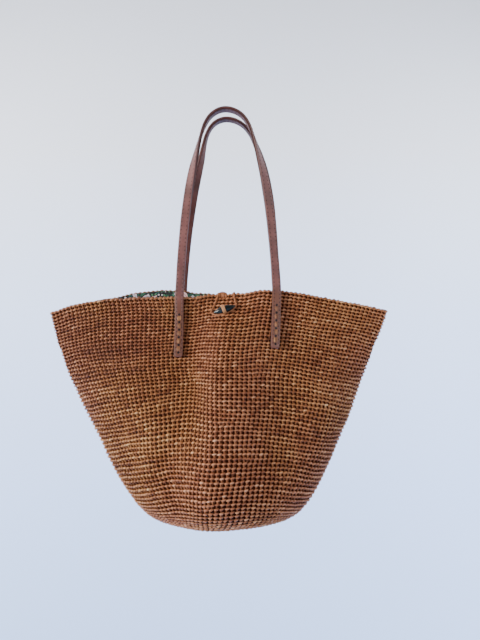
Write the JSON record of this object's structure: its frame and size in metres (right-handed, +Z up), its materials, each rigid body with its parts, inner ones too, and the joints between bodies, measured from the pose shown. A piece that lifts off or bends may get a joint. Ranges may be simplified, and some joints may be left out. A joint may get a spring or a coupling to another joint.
{
  "type": "crochet raffia handbag with leather handles",
  "caption": "Wide-mouthed crochet raffia handbag with slim stitched leather handles, a printed lining, and a horn toggle and loop that close the mouth.",
  "frame": {"origin": "the point the bag hangs by: the underside of the tops of the two handle arches, midway between the two handles", "axes": "+Z up, +X to the right seen from the front, +Y from the front with the toggle to the back"},
  "size_m": [0.441, 0.1292, 0.538],
  "materials": {
    "raffia": "matte, stitched",
    "pale_raffia": "satin",
    "leather": "smooth, semi-matte",
    "print": "matte printed cotton",
    "horn": "polished"
  },
  "bodies": {
    "root": {"bag_body": "raffia", "lining": "print", "front_handle": "leather", "back_handle": "leather", "toggle": "horn", "toggle_binding": "pale_raffia", "closure_loop": "raffia"}
  },
  "joints": []
}
